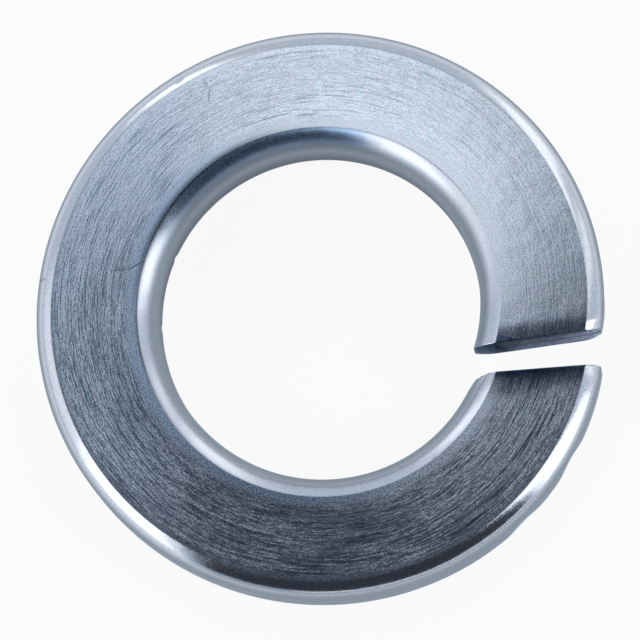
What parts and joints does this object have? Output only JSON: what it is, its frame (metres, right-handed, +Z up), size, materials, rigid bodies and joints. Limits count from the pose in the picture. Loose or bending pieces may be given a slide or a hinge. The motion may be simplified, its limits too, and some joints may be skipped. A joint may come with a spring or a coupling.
{
  "type": "spring lock washer",
  "caption": "Split helical spring lock washer: a left-hand coil of rolled spring wire with rounded edges and a skewed gap between its ends.",
  "frame": {"origin": "on the bore axis, at the level of the washer's lowest point, the foot of its lower end", "axes": "+Z up along the bore axis towards the bolt head, +X towards the gap between the two ends, +Y to the rear"},
  "size_m": [0.0181, 0.018, 0.0052],
  "materials": {
    "zinc_plate": "bright zinc plate over drawn spring steel, with fine streaks along the wire and smooth rolled edges"
  },
  "bodies": {
    "root": {"spring_washer": "zinc_plate"}
  },
  "joints": []
}
